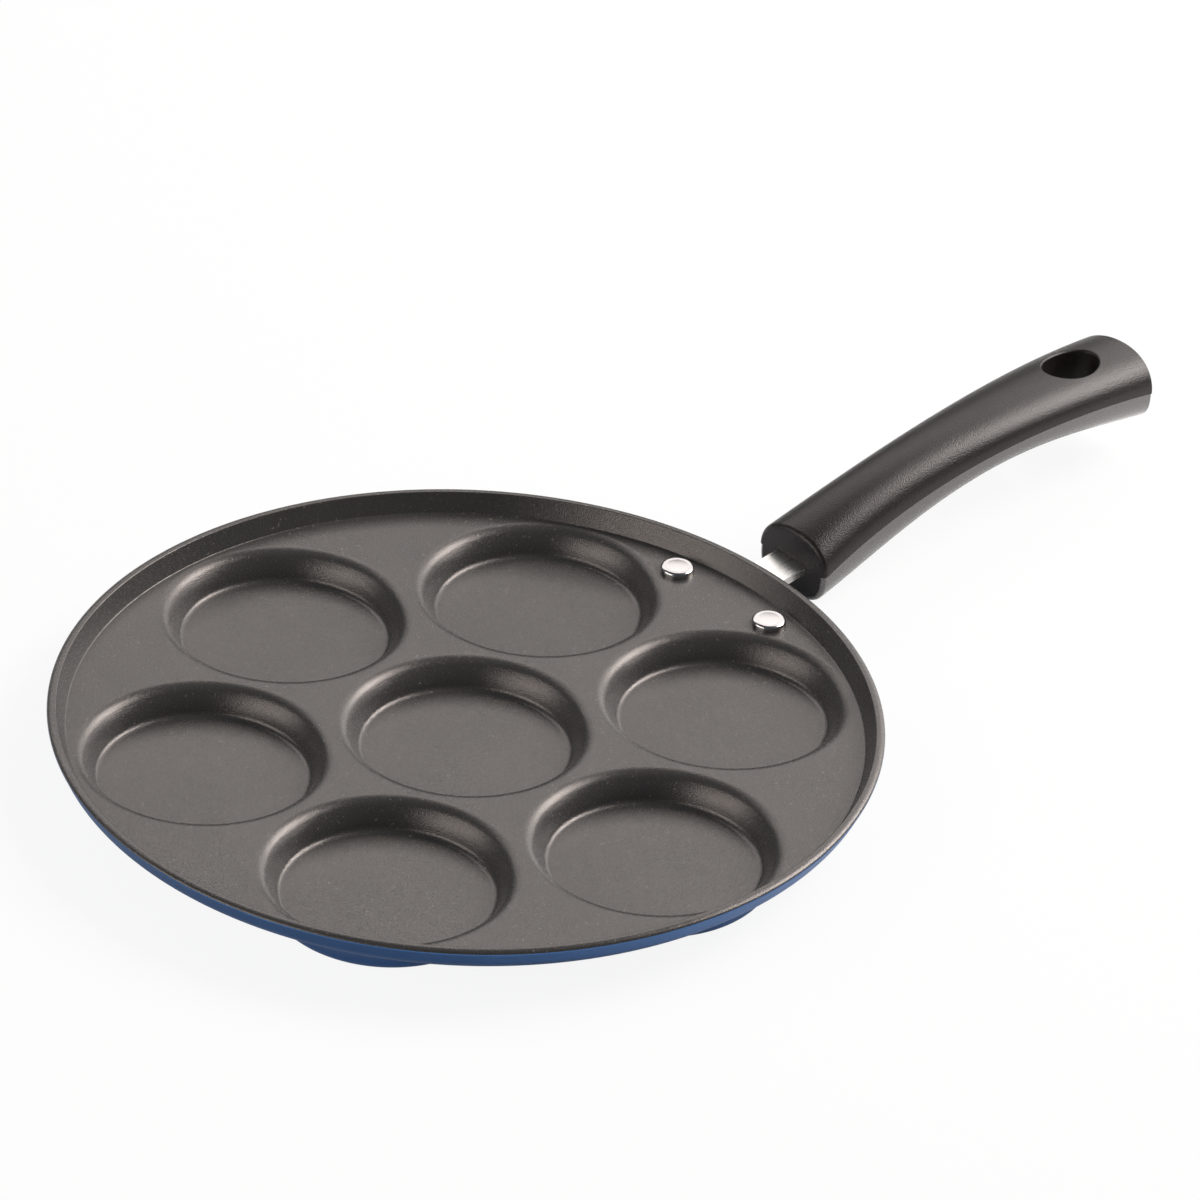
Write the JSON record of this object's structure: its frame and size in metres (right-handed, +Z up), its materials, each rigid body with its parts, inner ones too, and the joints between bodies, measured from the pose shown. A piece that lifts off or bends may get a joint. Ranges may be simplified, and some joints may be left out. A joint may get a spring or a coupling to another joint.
{
  "type": "uttapam pan",
  "caption": "Round low-rimmed frying pan with shallow flat-bottomed cups pressed into its deck, a riveted steel bracket and an arched moulded handle with a hanging hole.",
  "frame": {"origin": "centre of the middle cup's flat underside, on the plane that the pan stands on", "axes": "+X from the middle of the pan along the handle, +Z up out of the cups"},
  "size_m": [0.4001, 0.24, 0.0349],
  "materials": {
    "coated_aluminium": "dark grey non-stick coating inside, blue enamel outside",
    "bracket_steel": "polished",
    "bakelite": "satin",
    "rivet_aluminium": "polished",
    "screw_steel": "zinc plated",
    "washer_steel": "plain spring steel",
    "insert_brass": "turned"
  },
  "bodies": {
    "root": {"pan_body": "coated_aluminium", "handle_bracket": "bracket_steel", "handle_grip": "bakelite", "rivet_left": "rivet_aluminium", "rivet_right": "rivet_aluminium", "handle_screw": "screw_steel", "spring_washer": "washer_steel", "threaded_insert": "insert_brass"}
  },
  "joints": []
}
